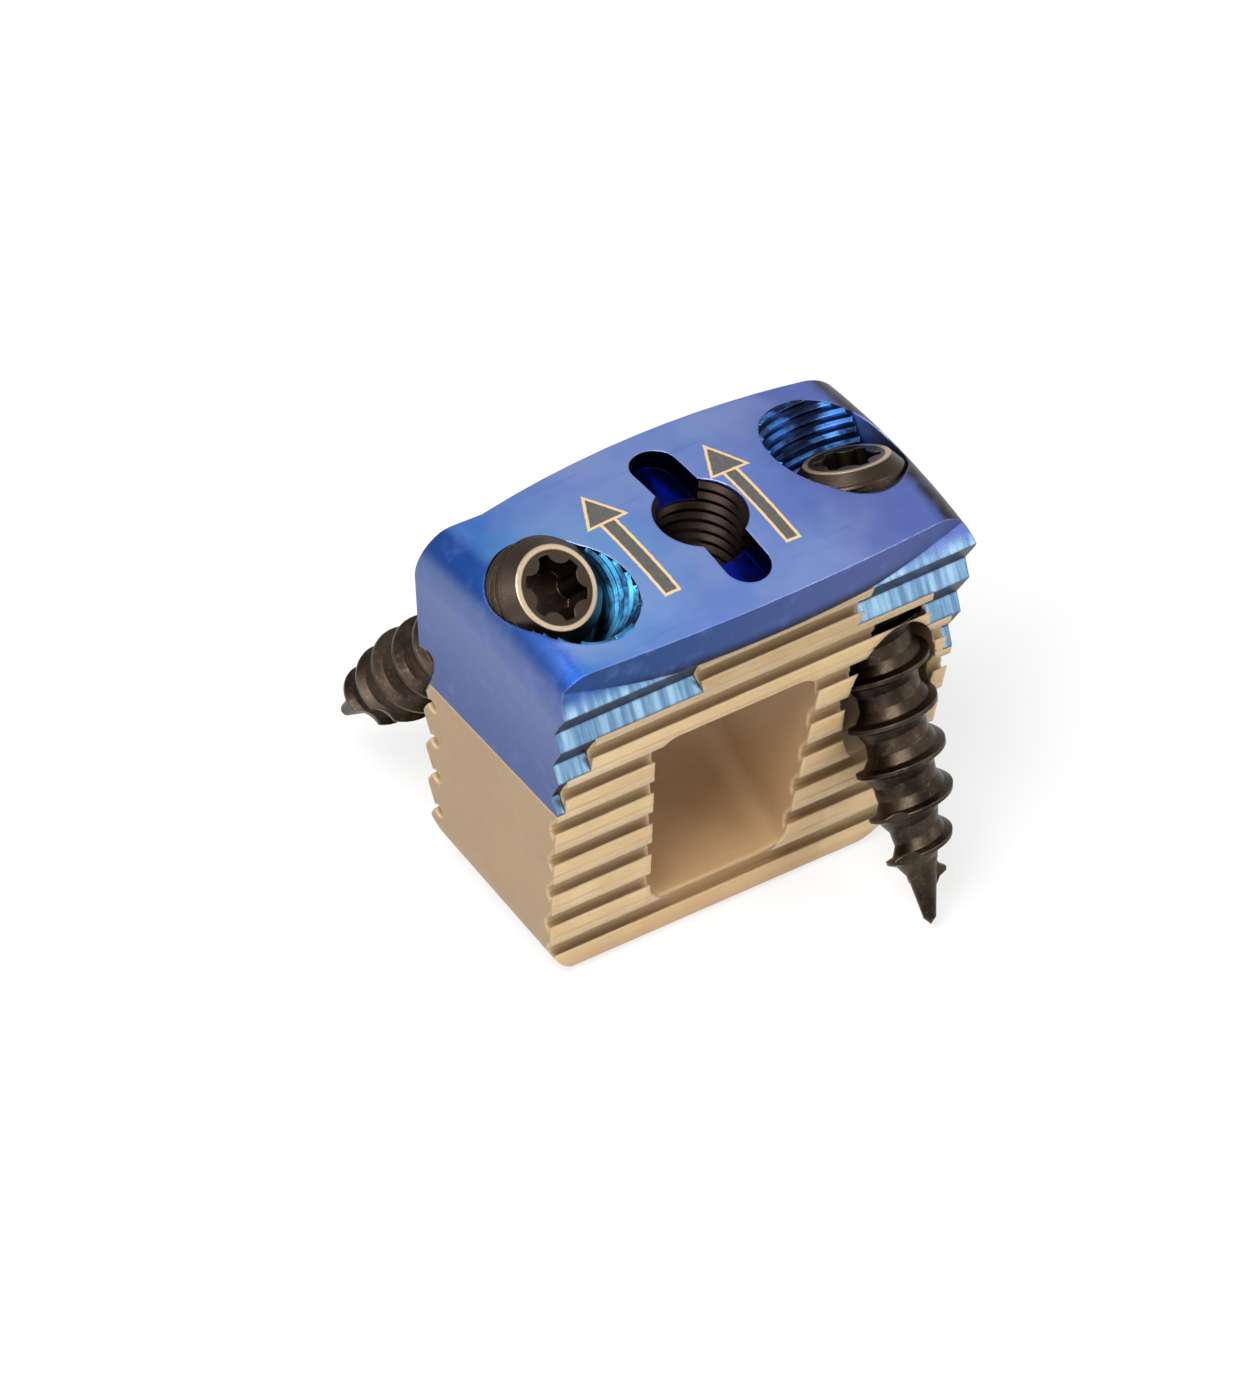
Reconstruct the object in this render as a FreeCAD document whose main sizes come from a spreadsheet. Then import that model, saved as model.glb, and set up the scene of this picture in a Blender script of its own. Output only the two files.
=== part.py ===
import FreeCAD, Part
import math
import os
import Sketcher
from FreeCAD import Placement, Rotation, Vector

doc = FreeCAD.newDocument("interbody_cage")

# Driving dimensions, in millimetres and degrees
# X runs across the front, Y from the inferior to the superior face, Z from the posterior face to the front
DIMENSIONS = {
    # overall envelope
    "cage_width": 17.0,
    "cage_depth": 15.4,
    "front_height": 9.0,
    "lordosis_slope": 0.07,
    "side_slope": 0.084,
    "widest_level": 13.6,
    "nose_small_round": 2.2,
    "nose_large_round": 4.0,
    "nose_far_round": 3.1,
    "heel_round": 0.45,
    "nose_trim": 0.1,
    # teeth of both endplate faces
    "first_crest_drop": 2.03,
    "tooth_pitch": 1.6,
    "tooth_ramp": 0.6,
    "tooth_height": 0.42,
    "crest_round": 0.45,
    "crest_ease": 0.16,
    "crest_wear": 0.03,
    "root_round": 0.26,
    "root_ease": 0.12,
    # front plate
    "front_sweep": 70.0,
    "front_crown": 26.0,
    "plate_end_round": 1.6,
    "band_half_height": 4.5,
    "band_sweep": 50.0,
    "end_land_width": 1.0,
    "end_land_ease": 1.9,
    "wing_reach": 8.5,
    "wing_wall": 0.35,
    "shoulder_half_width": 6.9,
    "tongue_half_width": 3.15,
    "tongue_undercut": 0.45,
    "tongue_slant": -0.15,
    # inserter socket in the plate
    "inserter_bore": 3.3,
    "slot_width": 1.7,
    "slot_reach": 2.72,
    "slot_depth": 1.0,
    "bush_wall": 0.3,
    "bush_cover": 0.3,
    # graft window
    "window_floor": 1.8,
    "window_roof": 10.05,
    "window_half_width": 3.43,
    "window_slant": 0.2,
    "window_round": 0.9,
    # screw seats in the plate, one the half turn of the other
    "seat_inset": 2.75,
    "seat_offset": 0.82,
    "seat_level": 15.1,
    "seat_tilt": 36.3,
    "seat_lean": 3.2,
    "seat_bore": 4.1,
    "shank_bore": 3.6,
    # bone screws
    "screw_length": 16.6,
    "head_diameter": 3.8,
    "head_depth": 2.3,
    "head_top_diameter": 3.0,
    "head_bevel_depth": 0.45,
    "neck_length": 0.7,
    "thread_diameter": 3.2,
    "core_diameter": 2.2,
    "thread_pitch": 1.6,
    "thread_base": 1.1,
    "thread_land": 0.14,
    "thread_hollow_width": 0.35,
    "thread_hollow_height": 0.42,
    "thread_point_height": 0.85,
    "thread_full_share": 0.625,
    "thread_lead": 0.1,
    "thread_step_angle": 22.5,
    "core_ease": 0.03,
    "taper_length": 4.9,
    "point_diameter": 0.5,
    "socket_diameter": 2.3,
    "socket_waist": 1.72,
    "socket_bump": 0.9,
    "socket_depth": 1.5,
    "flute_width": 1.5,
    "flute_length": 2.4,
    "flute_web": 0.5,
    "flute_lean": 14.0,
    "screw_clearance": 0.12,
    # how each screw sits, head centre and direction
    "left_head_inset": 2.46,
    "left_head_offset": -0.32,
    "left_head_level": 15.1,
    "right_head_inset": 2.38,
    "right_head_offset": 0.14,
    "right_head_level": 14.75,
    "right_tilt": 29.6,
    "right_lean": 3.5,
    # marker pins and plate pins
    "marker_pin_diameter": 0.8,
    "marker_length": 4.0,
    "marker_inset": 4.5,
    "plate_pin_diameter": 0.8,
    "plate_pin_grip": 1.0,
    "plate_pin_across": 2.6,
    "plate_pin_offset": 1.5,
    "pin_bevel": 0.08,
}

sheet = doc.addObject("Spreadsheet::Sheet", "sheet")
for row, (alias, value) in enumerate(DIMENSIONS.items(), start=1):
    sheet.set(f"A{row}", alias)
    sheet.set(f"B{row}", str(value))
    sheet.setAlias(f"B{row}", alias)
doc.recompute()


class Size:
    """A number together with the sheet expression that gives it."""

    def __init__(self, value, text):
        self.value = float(value)
        self.text = text

    def __add__(self, other):
        other = as_size(other)
        return Size(self.value + other.value, f"({self.text} + {other.text})")

    def __sub__(self, other):
        other = as_size(other)
        return Size(self.value - other.value, f"({self.text} - {other.text})")

    def __mul__(self, other):
        other = as_size(other)
        return Size(self.value * other.value, f"({self.text} * {other.text})")

    def __truediv__(self, other):
        other = as_size(other)
        return Size(self.value / other.value, f"({self.text} / {other.text})")

    def __neg__(self):
        return Size(-self.value, f"(0 - {self.text})")

    def root(self):
        """The square root."""
        return Size(self.value ** 0.5, f"sqrt({self.text})")


def as_size(value):
    """Turn a plain number into a Size and leave a Size as it is."""
    return value if isinstance(value, Size) else Size(value, repr(value))


def cell(alias):
    """The sheet cell with this alias."""
    return Size(sheet.get(alias), f"sheet.{alias}")


def bind(item, name, size):
    """Bind one property of an object to a sheet expression."""
    item.setExpression(name, as_size(size).text)


def primitive(kind, name, **sizes):
    """A Part primitive with each size bound to the sheet."""
    item = doc.addObject(kind, name)
    for key, size in sizes.items():
        bind(item, key, size)
    return item


def place(item, base, rotation=Rotation()):
    """Put an object at a point given by three Sizes, turned by a rotation."""
    point = [as_size(coordinate) for coordinate in base]
    item.Placement = Placement(Vector(*[coordinate.value for coordinate in point]), rotation)
    for axis, coordinate in zip("xyz", point):
        bind(item, f"Placement.Base.{axis}", coordinate)
    return item


def combine(kind, name, base, tool):
    """A Part boolean of two objects."""
    item = doc.addObject(kind, name)
    item.Base = base
    item.Tool = tool
    return item


def fuse_all(name, shapes):
    """One solid or group of solids from several objects."""
    item = doc.addObject("Part::MultiFuse", name)
    item.Shapes = shapes
    return item


def origin_plane(body, role):
    """One of the origin planes of a body."""
    return next(plane for plane in body.Origin.OriginFeatures if plane.Role == role)


def draw_outline(sketch, corners):
    """Close an outline through corners (across, up, radius): a radius rounds the run to the next corner.

    A positive radius bulges to the right of the run, a negative one to its left, and none is a straight run.
    """
    points = [(as_size(corner[0]), as_size(corner[1])) for corner in corners]
    spots = [Vector(across.value, up.value, 0) for across, up in points]
    rounds = [as_size(corner[2]) if len(corner) > 2 else None for corner in corners]
    elements = []
    for number, radius in enumerate(rounds):
        begin = spots[number]
        finish = spots[(number + 1) % len(spots)]
        if radius is None:
            elements.append(Part.LineSegment(begin, finish))
            continue
        chord = finish - begin
        right = Vector(chord.y, -chord.x, 0).normalize()
        rise = abs(radius.value) - (radius.value ** 2 - (chord.Length / 2) ** 2) ** 0.5
        crown = (begin + finish) * 0.5 + right * (rise if radius.value > 0 else -rise)
        elements.append(Part.Arc(begin, crown, finish))
    sketch.addGeometry(elements)
    first_end = []
    for number, spot in enumerate(spots):
        matches = (sketch.Geometry[number].StartPoint - spot).Length < 1e-6
        first_end.append(1 if matches else 2)
    rules = []
    bindings = []
    for number, (across, up) in enumerate(points):
        following = (number + 1) % len(points)
        last_end = 3 - first_end[number]
        rules.append(Sketcher.Constraint("Coincident", number, last_end, following, first_end[following]))
        for kind, letter, coordinate in (("DistanceX", "x", across), ("DistanceY", "y", up)):
            rule = Sketcher.Constraint(kind, -1, 1, number, first_end[number], coordinate.value)
            rule.Name = f"{letter}{number}"
            rules.append(rule)
            bindings.append((rule.Name, coordinate.text))
        if rounds[number] is not None:
            size = rounds[number] if rounds[number].value > 0 else -rounds[number]
            rule = Sketcher.Constraint("Radius", number, size.value)
            rule.Name = f"r{number}"
            rules.append(rule)
            bindings.append((rule.Name, size.text))
    sketch.addConstraint(rules)
    for label, formula in bindings:
        sketch.setExpression(f"Constraints.{label}", formula)


def sketch_on(body, name, role, corners):
    """A closed outline on one origin plane of a body."""
    sketch = body.newObject("Sketcher::SketchObject", name)
    sketch.AttachmentSupport = [(origin_plane(body, role), "")]
    sketch.MapMode = "FlatFace"
    draw_outline(sketch, corners)
    return sketch


def prism(name, role, corners, length, slant=None):
    """A body that pads an outline evenly to both sides, and leans it by a slant where one is given."""
    body = doc.addObject("PartDesign::Body", name)
    pad = body.newObject("PartDesign::Pad", f"{name}_pad")
    pad.Profile = sketch_on(body, f"{name}_outline", role, corners)
    pad.SideType = "Symmetric"
    bind(pad, "Length", length)
    if slant is not None:
        pad.UseCustomVector = True
        pad.AlongSketchNormal = True
        pad.Direction = Vector(slant.value, 1, 0)
        bind(pad, "Direction.x", slant)
    body.Tip = pad
    return body


def turned(name, corners):
    """A body that turns a half outline about the Z axis."""
    body = doc.addObject("PartDesign::Body", name)
    spin = body.newObject("PartDesign::Revolution", f"{name}_turn")
    spin.Profile = sketch_on(body, f"{name}_outline", "XZ_Plane", corners)
    spin.ReferenceAxis = (spin.Profile[0], ["V_Axis"])
    spin.Angle = 360
    body.Tip = spin
    return body


# Levels and widths that several sub-parts share
depth = cell("cage_depth")
pitch = cell("tooth_pitch")
long_run = cell("cage_width") * 3
first_crest = depth - cell("first_crest_drop")
half_across = cell("cage_width") / 2
seat_across = half_across - cell("seat_inset")


def half_width(level):
    """Half the width of the side faces at a level."""
    return half_across + (level - cell("widest_level")) * cell("side_slope")


def crest_reach(level):
    """Half the height of the crest plane at a level."""
    return cell("front_height") / 2 - (depth - level) * cell("lordosis_slope")


def crest_level(tooth):
    """Level of the crest of one tooth, counted from the front."""
    return first_crest - pitch * (tooth - 1)


def groove_level(tooth):
    """Level of the groove behind one tooth."""
    return crest_level(tooth) - (pitch - cell("tooth_ramp"))


def grooves_above(level):
    """How many grooves it takes from the first crest down past a level."""
    return math.ceil((first_crest - level).value / pitch.value)


def mirrored(side):
    """Close a half outline, given from bottom to top on the right, with its mirror image."""
    left = []
    for corner, below in zip(reversed(side), list(reversed(side[:-1])) + [()]):
        rounding = tuple(below[2:])
        left.append((-as_size(corner[0]), corner[1]) + rounding)
    return side + left


def toothed_block(name, heel, groove, count):
    """A wedge with the crest planes as its faces and a row of grooves cut across both of them."""
    inset = cell("tooth_height") * 2
    ramp_rise = cell("tooth_ramp") / cell("tooth_height") * inset
    side = heel + [
        (crest_reach(first_crest), first_crest),
        (crest_reach(first_crest) - inset, first_crest + ramp_rise),
        (crest_reach(first_crest) - inset, depth + pitch),
    ]
    body = prism(name, "YZ_Plane", mirrored(side), cell("cage_width") * 2)
    for hand, label in ((1, "superior"), (-1, "inferior")):
        outline = [
            (corner[0] * hand, corner[1]) + tuple(rounding * hand for rounding in corner[2:])
            for corner in groove
        ]
        cut = body.newObject("PartDesign::Pocket", f"{name}_{label}_groove")
        cut.Profile = sketch_on(body, f"{name}_{label}_outline", "YZ_Plane", outline)
        step = Part.LineSegment(
            Vector(crest_reach(first_crest).value * hand, first_crest.value, 0),
            Vector(crest_reach(crest_level(2)).value * hand, crest_level(2).value, 0),
        )
        cut.Profile[0].addGeometry(step, True)
        cut.SideType = "Symmetric"
        bind(cut, "Length", cell("cage_width") * 3)
        body.Tip = cut
        row = body.newObject("PartDesign::LinearPattern", f"{name}_{label}_row")
        row.Originals = [cut]
        row.Direction = (cut.Profile[0], ["Axis0"])
        row.Mode = "Spacing"
        row.Occurrences = count
        bind(row, "Offset", pitch * (cell("lordosis_slope") * cell("lordosis_slope") + 1).root())
        body.Tip = row
    return body


def sharp_groove():
    """The V groove behind the first crest, with its mouth outside the crest plane."""
    first = crest_reach(first_crest)
    second = crest_reach(crest_level(2))
    mouth = first + cell("tooth_height")
    return [
        (first, first_crest),
        (crest_reach(groove_level(1)) - cell("tooth_height"), groove_level(1)),
        (second, crest_level(2)),
        (mouth, crest_level(2)),
        (mouth, first_crest),
    ]


def wavy_groove():
    """The groove behind the first crest of the cage body, with a round bottom and round crests."""
    first = crest_reach(first_crest)
    second = crest_reach(crest_level(2))
    bottom = crest_reach(groove_level(1)) - cell("tooth_height")
    back_slope = cell("tooth_height") / (pitch - cell("tooth_ramp"))
    ramp_slope = cell("tooth_height") / cell("tooth_ramp")
    crest_ease = cell("crest_ease")
    root_ease = cell("root_ease")
    mouth = first + cell("tooth_height")
    return [
        (first - cell("crest_wear"), first_crest, cell("crest_round")),
        (first - back_slope * crest_ease, first_crest - crest_ease),
        (bottom + back_slope * root_ease, groove_level(1) + root_ease, -cell("root_round")),
        (bottom + ramp_slope * root_ease, groove_level(1) - root_ease),
        (second - ramp_slope * crest_ease, crest_level(2) + crest_ease, cell("crest_round")),
        (second - cell("crest_wear"), crest_level(2)),
        (mouth, crest_level(2)),
        (mouth, first_crest),
    ]


# Cage body: side outline with larger nose rounds where the screws pass
side_root = (cell("side_slope") * cell("side_slope") + 1).root()


def nose_corners(hand, radius):
    """The two ends of a nose round between a base just behind the posterior face and one side face."""
    base = -cell("nose_trim")
    reach = radius * (side_root - cell("side_slope"))
    level = base + reach / side_root
    return (half_width(base) - reach) * hand, half_width(level) * hand, level


def cage_outline(right_round, left_round):
    """The outline of the cage body seen from its toothed face."""
    right_flat, right_side, right_level = nose_corners(1, right_round)
    left_flat, left_side, left_level = nose_corners(-1, left_round)
    top = depth + pitch
    base = -cell("nose_trim")
    return [
        (right_flat, base, right_round),
        (right_side, right_level),
        (half_width(top), top),
        (-half_width(top), top),
        (left_side, left_level, left_round),
        (left_flat, base),
    ]


cage_form = doc.addObject("PartDesign::Body", "cage_form")
face_outlines = []
small = cell("nose_small_round")
large = cell("nose_large_round")
far = cell("nose_far_round")
for label, hand, rounds in (("inferior", 1, (large, small)), ("superior", -1, (small, far))):
    outline = sketch_on(cage_form, f"cage_{label}_outline", "XZ_Plane", cage_outline(*rounds))
    outline.AttachmentOffset = Placement(Vector(0, 0, crest_reach(depth).value * hand), Rotation())
    bind(outline, "AttachmentOffset.Base.z", crest_reach(depth) * hand)
    face_outlines.append(outline)
loft = cage_form.newObject("PartDesign::AdditiveLoft", "cage_form_loft")
loft.Profile = face_outlines[0]
loft.Sections = [face_outlines[1]]
loft.Ruled = True
cage_form.Tip = loft

heel = cell("heel_round")
cage_teeth = toothed_block(
    "cage_teeth",
    [(crest_reach(heel) - heel, as_size(0), heel), (crest_reach(heel), heel)],
    wavy_groove(),
    grooves_above(pitch / 2),
)
cage_envelope = combine("Part::Common", "cage_envelope", cage_form, cage_teeth)


# Stepped seat between the cage body and the front plate, with a dovetail tongue
def seat_steps():
    """The stepped top of the cage body, one step at each crest."""
    beyond = cell("cage_width")
    wing = cell("wing_reach")
    wall = cell("wing_wall")
    low = crest_level(3)
    high = crest_level(2)
    shoulder = cell("shoulder_half_width")
    return mirrored([
        (beyond, -pitch),
        (beyond, wing),
        (half_width(wing) - wall, wing),
        (half_width(low) - wall, low),
        (shoulder, low),
        (shoulder, high),
    ])


def tongue():
    """The dovetail tongue, from inside the shoulder up to the first crest."""
    base = cell("tongue_half_width")
    high = crest_level(2)
    return mirrored([
        (base, high - cell("tongue_undercut")),
        (base, high),
        (base + cell("tongue_undercut"), first_crest),
    ])


across = cell("front_height") * 2
seat_block = fuse_all("seat_block", [
    prism("seat_steps", "XZ_Plane", seat_steps(), across),
    prism("tongue", "XZ_Plane", tongue(), across, cell("tongue_slant")),
])


# Graft window
def window_outline():
    """The window with round corners and the same side slope as the cage."""
    slope = cell("side_slope")
    floor = cell("window_floor")
    roof = cell("window_roof")
    round_ = cell("window_round")
    floor_half = cell("window_half_width") - (roof - floor) * slope
    roof_half = cell("window_half_width")
    low_reach = round_ * (side_root - slope)
    high_reach = round_ * (side_root + slope)
    low_level = low_reach / side_root
    high_level = high_reach / side_root
    return mirrored([
        (floor_half - low_reach, floor, round_),
        (floor_half + low_level * slope, floor + low_level),
        (roof_half - high_level * slope, roof - high_level, round_),
        (roof_half - high_reach, roof),
    ])


window = prism("graft_window", "XZ_Plane", window_outline(), across, cell("window_slant"))


# Front plate: side outline, crowned front, domed band and cut teeth
def plate_sides():
    """The side faces of the front plate, carried past its front."""
    low = cell("wing_reach") - pitch
    top = depth + pitch
    return mirrored([(half_width(low), low), (half_width(top), top)])


plate_block = prism("plate_block", "XZ_Plane", plate_sides(), across)
front_ring = primitive(
    "Part::Torus",
    "front_crown_ring",
    Radius1=cell("front_sweep") - cell("front_crown"),
    Radius2=cell("front_crown"),
)
place(front_ring, (0, 0, depth - cell("front_sweep")), Rotation(Vector(1, 0, 0), 90))
plate_front = combine("Part::Common", "plate_front", plate_block, front_ring)
doc.recompute()


def edges_near(shape, test):
    """Numbers of the edges whose middle passes a test."""
    numbers = []
    for number, edge in enumerate(shape.Edges, start=1):
        middle = edge.valueAt((edge.FirstParameter + edge.LastParameter) / 2)
        if test(middle):
            numbers.append(number)
    return numbers


def rounded(name, base, radius, test):
    """A fillet of one radius on the edges that pass a test."""
    item = doc.addObject("Part::Fillet", name)
    item.Base = base
    item.Edges = [(number, radius.value, radius.value) for number in edges_near(base.Shape, test)]
    return item


def at_plate_end(middle):
    """Whether a point lies where the crowned front meets a side face."""
    reach = cell("plate_end_round").value
    aside = abs(middle.x) > half_width(depth).value - reach / 2
    return aside and middle.z > depth.value - reach and abs(middle.y) < reach / 2


plate_form = rounded("plate_form", plate_front, cell("plate_end_round"), at_plate_end)

band_sides = []
for hand, label in ((1, "superior"), (-1, "inferior")):
    band_depth = cell("first_crest_drop") + pitch
    side = primitive("Part::Cylinder", f"band_{label}_sweep", Radius=cell("band_sweep"), Height=band_depth)
    place(side, (0, (cell("band_half_height") - cell("band_sweep")) * hand, first_crest))
    band_sides.append(side)
band = combine("Part::Common", "band", *band_sides)

plate_teeth = toothed_block(
    "plate_teeth",
    [(crest_reach(as_size(0)), as_size(0))],
    sharp_groove(),
    grooves_above(cell("wing_reach")),
)


# The left end of the superior edge has no teeth: a land on the crest plane that runs into the band
def land_plan():
    """The land seen from the front."""
    outside = half_across + pitch
    inside = half_across - cell("end_land_width")
    reach = crest_reach(first_crest)
    return [
        (-outside, 0),
        (cell("end_land_ease") - inside, 0),
        (cell("end_land_ease") - inside, cell("band_half_height") - cell("tooth_height")),
        (-inside, reach),
        (-outside, reach),
    ]


def crest_wedge():
    """The superior crest plane with no teeth in it, seen from the side."""
    low = cell("wing_reach") - pitch
    high = depth + pitch
    return [(as_size(0), low), (crest_reach(low), low), (crest_reach(high), high), (as_size(0), high)]


land_blank = prism("end_land_plan", "XY_Plane", land_plan(), depth * 2)
land_wedge = prism("end_land_wedge", "YZ_Plane", crest_wedge(), cell("cage_width") * 2)
end_land = combine("Part::Common", "end_land", land_blank, land_wedge)
plate_faces = fuse_all("plate_faces", [plate_teeth, band, end_land])
plate_solid = combine("Part::Common", "plate_solid", plate_form, plate_faces)
plate_blank = combine("Part::Cut", "plate_blank", plate_solid, seat_block)


# Screw places
def up_direction(hand, tilt, lean):
    """Unit direction from the point to the head of a screw on one side."""
    tilt_turn = Rotation(Vector(1, 0, 0), -tilt.value * hand)
    lean_turn = Rotation(Vector(0, 1, 0), -lean.value * hand)
    return tilt_turn.multVec(lean_turn.multVec(Vector(0, 0, 1)))


def turn_to(direction):
    """The rotation that carries the Z axis to a direction."""
    return Rotation(Vector(0, 0, 1), direction)


def bore(name, diameter, head, direction, below):
    """A cylinder along a screw's direction from well above its head centre to below it."""
    item = primitive("Part::Cylinder", name, Radius=diameter / 2, Height=cell("head_diameter") + below)
    start = [
        coordinate - below * part
        for coordinate, part in zip(head, (direction.x, direction.y, direction.z))
    ]
    return place(item, start, turn_to(direction))


SCREWS = {
    "left": {
        "hand": -1,
        "head": (cell("left_head_inset") - half_across, cell("left_head_offset"), cell("left_head_level")),
        "direction": up_direction(-1, cell("seat_tilt"), cell("seat_lean")),
    },
    "right": {
        "hand": 1,
        "head": (half_across - cell("right_head_inset"), cell("right_head_offset"), cell("right_head_level")),
        "direction": up_direction(1, cell("right_tilt"), -cell("right_lean")),
    },
}
room = cell("screw_clearance")
head_room = cell("head_diameter") + room * 2
seat_floor = cell("head_depth") + room * 2
seat_cuts = []
for side, screw in SCREWS.items():
    hand = screw["hand"]
    centre = (seat_across * hand, cell("seat_offset") * hand, cell("seat_level"))
    axis = up_direction(hand, cell("seat_tilt"), cell("seat_lean"))
    below = cell("screw_length") + room
    seat_cuts += [
        bore(f"{side}_seat", cell("seat_bore"), centre, axis, seat_floor),
        bore(f"{side}_head_room", head_room, screw["head"], screw["direction"], seat_floor),
        bore(f"{side}_shank_bore", cell("shank_bore"), screw["head"], screw["direction"], below),
    ]
screw_rooms = fuse_all("screw_rooms", seat_cuts)


# Inserter socket: a round bore crossed by a slot with round ends
slot_width = cell("slot_width")
slot_reach = cell("slot_reach")
slot_floor = depth - cell("slot_depth")
slot_height = cell("slot_depth") + pitch
slot_span = slot_reach * 2
slot_middle = primitive("Part::Box", "slot_middle", Length=slot_width, Width=slot_span, Height=slot_height)
slot_parts = [place(slot_middle, (-slot_width / 2, -slot_reach, slot_floor))]
for hand, label in ((1, "superior"), (-1, "inferior")):
    slot_end = primitive("Part::Cylinder", f"slot_{label}_end", Radius=slot_width / 2, Height=slot_height)
    slot_parts.append(place(slot_end, (0, slot_reach * hand, slot_floor)))
slot = fuse_all("slot", slot_parts)
bore_radius = cell("inserter_bore") / 2
inserter_bore = primitive("Part::Cylinder", "inserter_bore", Radius=bore_radius, Height=depth)
place(inserter_bore, (0, 0, cell("window_roof")))


# Threaded bush behind the plate, from the roof of the graft window up into the plate
bush_foot = cell("window_roof")
bush_top = slot_floor - cell("bush_cover")
bush_radius = bore_radius + cell("bush_wall")
bush_seat = primitive("Part::Cylinder", "bush_seat", Radius=bush_radius, Height=bush_top - bush_foot + pitch)
place(bush_seat, (0, 0, bush_foot - pitch))
bush_blank = primitive("Part::Cylinder", "bush_blank", Radius=bush_radius, Height=bush_top - bush_foot)
place(bush_blank, (0, 0, bush_foot))
bush_hole = primitive("Part::Cylinder", "bush_hole", Radius=bore_radius, Height=depth)
place(bush_hole, (0, 0, bush_foot - pitch))
threaded_bush = combine("Part::Cut", "threaded_bush", bush_blank, bush_hole)


# Pins
def pin(name, diameter, length, foot, bevel):
    """A plain round pin with a small bevel at both ends."""
    radius = diameter / 2
    body = turned(name, [
        (0, 0),
        (radius - bevel, 0),
        (radius, bevel),
        (radius, length - bevel),
        (radius - bevel, length),
        (0, length),
    ])
    place(body, foot)
    return body


def pin_hole(name, diameter, length, foot):
    """The straight hole that a pin fills."""
    return place(primitive("Part::Cylinder", name, Radius=diameter / 2, Height=length), foot)


pins = []
pin_holes = []
plate_pin_length = first_crest - cell("window_roof") + cell("plate_pin_grip")
marker_across = half_across - cell("marker_inset")
for hand, side in ((-1, "left"), (1, "right")):
    plate_foot = (cell("plate_pin_across") * hand, cell("plate_pin_offset") * hand, cell("window_roof"))
    for name, length, foot in (
        ("marker_pin", cell("marker_length"), (marker_across * hand, 0, 0)),
        ("plate_pin", plate_pin_length, plate_foot),
    ):
        diameter = cell(f"{name}_diameter")
        pins.append(pin(f"{name}_{side}", diameter, length, foot, cell("pin_bevel")))
        pin_holes.append(pin_hole(f"{name}_{side}_hole", diameter, length, foot))
all_pin_holes = fuse_all("pin_holes", pin_holes)

plate_cuts = fuse_all("plate_cuts", [screw_rooms, slot, inserter_bore, bush_seat, all_pin_holes])
front_plate = combine("Part::Cut", "front_plate", plate_blank, plate_cuts)
cage_blank = combine("Part::Common", "cage_blank", cage_envelope, seat_block)
cage_cuts = fuse_all("cage_cuts", [screw_rooms, window, bush_seat, all_pin_holes])
cage_body = combine("Part::Cut", "cage_body", cage_blank, cage_cuts)


# Bone screws, each drawn with its head centre at the origin and its point down
def screw_core(name):
    """The head, the neck and the core inside the thread as one turned body."""
    head = cell("head_diameter") / 2
    core = cell("core_diameter") / 2
    point = cell("point_diameter") / 2
    ease = cell("core_ease")
    length = cell("screw_length")
    neck_end = -cell("head_depth") - cell("neck_length")
    return turned(name, [
        (0, 0),
        (cell("head_top_diameter") / 2, 0),
        (head, -cell("head_bevel_depth")),
        (head, -cell("head_depth")),
        (core, neck_end),
        (core - ease, neck_end - ease),
        (core - ease, -length + cell("taper_length")),
        (point - ease, -length + point),
        (0, -length),
    ])


# Thread: one face wound about the axis for each track between two roots, turn after turn
def ridge_tracks():
    """Offsets along the axis, with the share of the ridge height that each of them reaches."""
    half_base = cell("thread_base").value / 2
    upper = [
        (cell("thread_land").value / 2, 1),
        (half_base * cell("thread_hollow_width").value, cell("thread_hollow_height").value),
        (half_base, 0),
        (cell("thread_pitch").value / 2, 0),
    ]
    return [(-offset, share) for offset, share in reversed(upper)] + upper


def shank_radius(level, share):
    """Radius of the shank at a level, with a share of the ridge on it. Core and ridge taper to the point."""
    core = cell("core_diameter").value / 2
    point = cell("point_diameter").value / 2
    tip_level = point - cell("screw_length").value
    taper_level = (cell("taper_length") - cell("screw_length")).value
    run = min(1, max(0, (level - tip_level) / (taper_level - tip_level)))
    start = cell("thread_point_height").value
    fade = min(1, start + (1 - start) * run / cell("thread_full_share").value)
    return point + (core - point) * run + (cell("thread_diameter").value / 2 - core) * fade * share


def wound_edge(middle, offset, share):
    """One turn of a track about the axis, through points at even steps."""
    turn = cell("thread_pitch").value
    steps = round(360 / cell("thread_step_angle").value)
    points = []
    for step in range(steps + 1):
        level = middle + offset + turn * step / steps
        spoke = Rotation(Vector(0, 0, 1), 360 * step / steps).multVec(Vector(1, 0, 0))
        points.append(spoke * shank_radius(level, share) + Vector(0, 0, level))
    curve = Part.BSplineCurve()
    curve.interpolate(points)
    return curve.toShape()


def thread_end(rim, middle):
    """The two faces that close one end of the thread: a ramp in to the axis and the cut profile."""
    low = rim.valueAt(rim.FirstParameter).z
    high = rim.valueAt(rim.LastParameter).z
    ramp = Part.makeRuledSurface(rim, Part.makeLine(Vector(0, 0, low), Vector(0, 0, high)))
    profile = [Vector(0, 0, low)]
    for offset, share in ridge_tracks():
        level = middle + offset
        profile.append(Vector(shank_radius(level, share), 0, level))
    profile += [Vector(0, 0, high), profile[0]]
    return [ramp, Part.Face(Part.makePolygon(profile))]


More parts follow.
